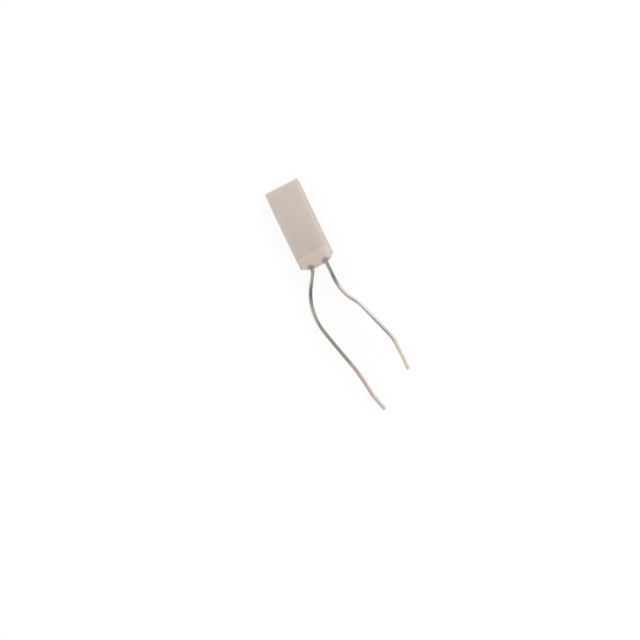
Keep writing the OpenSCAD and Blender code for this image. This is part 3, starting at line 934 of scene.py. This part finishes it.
# How far under the chip's faces the hidden skin starts, and what it keeps of its depth.
BURIED = 0.03 * MM
DEPTH_KEPT = 0.1
BEAD_WAVE = 0.006 * MM
BEAD_WAVE_SIZE = 1.6 * MM
BEAD_SEED = 7
BEAD_COLOR = (0.625, 0.532, 0.46, 1.0)
BEAD_WARM = (0.60, 0.505, 0.43, 1.0)
# Painted light: a paler tone toward the right end, which faces the lamp.
BEAD_RIGHT_LIGHT = (0.66, 0.58, 0.52, 1.0)
# Painted shade: darker behind, on the back slope that faces the lamp.
BEAD_BACK_SHADE = (0.585, 0.50, 0.435, 1.0)
BACK_SHADE_SPAN = (-2.28 * MM, -2.0 * MM)
RIGHT_LIGHT_FROM = 0.5 * MM
# A painted dark patch where each wire leaves the bead: it stands for the shade there and for the
# wire seen through the glass.
BEAD_EXIT_SHADE = (0.22, 0.18, 0.155, 1.0)
EXIT_SHADE_OFFSET = (0.0, 0.04 * MM, 0.04 * MM)
EXIT_SHADE_SQUASH = (1.0, 0.6, 1.0)
EXIT_SHADE_REACH = (0.09 * MM, 0.29 * MM)
BEAD_CLOUD_MM = 0.8
BEAD_PEEL_MM = 0.08
BEAD_PINHOLE_MM = 0.12
BEAD_RELIEF_MM = 0.0015
BEAD_ROUGHNESS = 0.38
BEAD_GLOSS = 0.35

bead_axis_y = bead_low[1] + BEAD_RADIUS
bead_axis_z = bead_high[2] - BEAD_RADIUS
bead_under = chip_high[2] - BURIED
bead_narrowed = (chip_high[0] - CORNER_WEAR - BURIED) / bead_high[0]


def bead_rings():
    """Rings of the bead's skin round its axis, which runs across the chip. The radius falls
    off toward the ends as a superellipse, fuller behind and to the right, and is drawn in
    behind. There it meets the shelf, a plane at the glaze's own height with a thin foot of
    glass on it, as the longer of the two radii with a soft change. The foot's height goes with
    the reach and the reach with the height, so the shelf is found in a few rounds. In front the
    bead ends at the chip's end face in the same way. Near a wire the skin moves out along it,
    by an exponential of the distance from the wire. Skin that would lie inside the chip is
    drawn in from its sides and lies just under its nearest face, round corners included, at a
    tenth of its depth."""
    share = np.sin(np.linspace(-1, 1, BEAD_ROWS + 2)[1:-1] * np.pi / 2)[:, None]
    x = bead_high[0] * share * np.where(share < 0, LEFT_SHARE, 1)
    turn = np.linspace(0, 2 * np.pi, BEAD_COLUMNS, endpoint=False)[None, :]
    cos, sin = np.cos(turn), np.sin(turn)
    fullness = FRONT_FULLNESS + (BACK_FULLNESS - FRONT_FULLNESS) * np.clip(0.5 + cos, 0, 1)
    fullness = fullness * (1 + FULLER_RIGHT * share)
    bar = BEAD_RADIUS * (1 - np.abs(share) ** fullness) ** (1 / fullness)
    back = bar * (1 - BACK_DRAWN_IN * np.maximum(cos, 0) ** 2)

    rim = np.clip((glaze_high[0] - np.abs(x)) / GLAZE_ROLL, 0, 1)
    fall = GLAZE_CROWN * np.abs(x / glaze_high[0]) ** CROWN_POWER
    coat = glaze_high[2] - glaze_low[2] - fall
    over_glaze = glaze_low[2] + coat * np.sqrt(1 - (1 - rim) ** 2) - bead_axis_z
    edge = BEAD_RADIUS / 2
    unsteady = 1 + REACH_UNSTEADY * waves(x, 0 * x, REACH_WAVE_SIZE, REACH_SEED)
    reach = PASTE_REACH * unsteady * (1 - REACH_LOST * share ** REACH_LOST_POWER)
    furthest = np.minimum(np.hypot(over_glaze, reach), FURTHEST_RADII * bar)
    full = PASTE_HEIGHT * (1 - share ** PASTE_END_POWER)
    shelf = furthest
    for _ in range(SHELF_ROUNDS):
        outward = np.clip((shelf * cos - edge) / (reach - edge), 0, 1)
        paste = full * (1 - outward) ** PASTE_POWER - PASTE_SUNK
        shelf = (over_glaze + paste) / np.maximum(sin, LEAST_SINE)
        shelf = np.where((cos > 0) & (sin > 0), np.minimum(shelf, furthest), 0)
    wall = (bead_axis_y - chip_low[1] + WALL_STANDOFF) / np.maximum(-cos, LEAST_SINE)
    wall = np.minimum(wall, (1 + WALL_PAST * (1 - share ** 2)) * bar)
    wall = np.where((cos < 0) & (sin < 0), wall, 0)
    radius = (back ** SHELF_JOIN + shelf ** SHELF_JOIN) ** (1 / SHELF_JOIN)
    radius = (radius ** WALL_JOIN + wall ** WALL_JOIN) ** (1 / WALL_JOIN)
    uneven = waves(x + 0 * turn, BEAD_RADIUS * turn + 0 * x, BEAD_WAVE_SIZE, BEAD_SEED)
    radius = radius + BEAD_WAVE * uneven * np.minimum(bar / BEAD_RADIUS, 1)

    y = bead_axis_y + radius * cos
    z = bead_axis_z + radius * sin
    x = x * (1 - FRONT_NARROWED * np.maximum(-cos, 0))
    for side in (-1, 1):
        wire_x = side * LEAD_PITCH / 2 + LEAD_SHIFT
        away = np.hypot(x - wire_x, z - wire_z) - WIRE_D / 2
        climb = GLASS_CLIMB * np.exp(-np.maximum(away, 0) / CLIMB_REACH)
        y = y - climb * (cos < 0)

    corner = np.where(x < 0, CHIP_CORNERS[2], CHIP_CORNERS[3]) + SCRIBE_BEVEL
    into_corner = np.clip((np.abs(x) - chip_high[0] + corner) / corner, 0, 1)
    end_face = chip_low[1] + BURIED + corner * (1 - np.sqrt(1 - into_corner ** 2))
    inside = (y > end_face) & (z < bead_under)
    nearer_top = (bead_under - z) < (y - end_face)
    x = np.where(inside, x * bead_narrowed, x)
    z = np.where(inside & nearer_top, bead_under + DEPTH_KEPT * (z - bead_under), z)
    y = np.where(inside & ~nearer_top, end_face + DEPTH_KEPT * (y - end_face), y)
    z = np.maximum(z, bead_low[2])
    return np.dstack([x, y, z])


def bead_material():
    """Cream glass, smoother than the glaze. It is a little darker behind, a painted shade on the
    back slope that faces the lamp, goes over to a paler tone to the right, a painted light from
    the lamp's side, and is painted dark where the wires leave it, for the shade there and the
    wires seen through the glass."""
    material, nodes, links, shader = blank_material("bead_fused")
    grain = place_grain(nodes, links, BEAD_CLOUD_MM, BEAD_PEEL_MM, BEAD_PINHOLE_MM)
    glass = two_tones(nodes, links, grain.outputs["Cloud"], BEAD_WARM, BEAD_COLOR)
    place = nodes.new("ShaderNodeTexCoord")
    axes = nodes.new("ShaderNodeSeparateXYZ")
    links.new(place.outputs["Object"], axes.inputs[0])
    # Painted shade behind.
    color = two_tones(nodes, links, axes.outputs["Y"], glass, BEAD_BACK_SHADE, *BACK_SHADE_SPAN)
    # Painted light toward the right.
    color = two_tones(nodes, links, axes.outputs["X"], color, BEAD_RIGHT_LIGHT, RIGHT_LIGHT_FROM, bead_high[0])
    # Painted dark patches at the wire exits: shade, and the wires seen through the glass.
    for side in (-1, 1):
        wire_x = side * LEAD_PITCH / 2 + LEAD_SHIFT
        away = new_node(nodes, "ShaderNodeVectorMath", operation="SUBTRACT")
        away.inputs[1].default_value = np.array((wire_x, bead_low[1], wire_z)) + EXIT_SHADE_OFFSET
        links.new(place.outputs["Object"], away.inputs[0])
        squash = new_node(nodes, "ShaderNodeVectorMath", operation="MULTIPLY")
        squash.inputs[1].default_value = EXIT_SHADE_SQUASH
        links.new(away.outputs[0], squash.inputs[0])
        length = new_node(nodes, "ShaderNodeVectorMath", operation="LENGTH")
        links.new(squash.outputs[0], length.inputs[0])
        color = two_tones(nodes, links, length.outputs["Value"], BEAD_EXIT_SHADE, color, *EXIT_SHADE_REACH)
    links.new(color, shader.inputs["Base Color"])
    shader.inputs["Roughness"].default_value = BEAD_ROUGHNESS
    shader.inputs["Specular IOR Level"].default_value = BEAD_GLOSS
    height = new_node(nodes, "ShaderNodeMath", operation="SUBTRACT")
    links.new(grain.outputs["Grain"], height.inputs[0])
    links.new(grain.outputs["Pinholes"], height.inputs[1])
    relief(nodes, links, shader, height.outputs[0], BEAD_RELIEF_MM)
    return material


bead_pole_z = bead_under + DEPTH_KEPT * (bead_axis_z - bead_under)
bead_pole = np.array([bead_high[0] * bead_narrowed, bead_axis_y, bead_pole_z])
bead = skin("bead_glass", bead_pole * (-1, 1, 1), bead_rings(), bead_pole, bead_material())
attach(bead, "root")
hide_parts("fixing_bead")
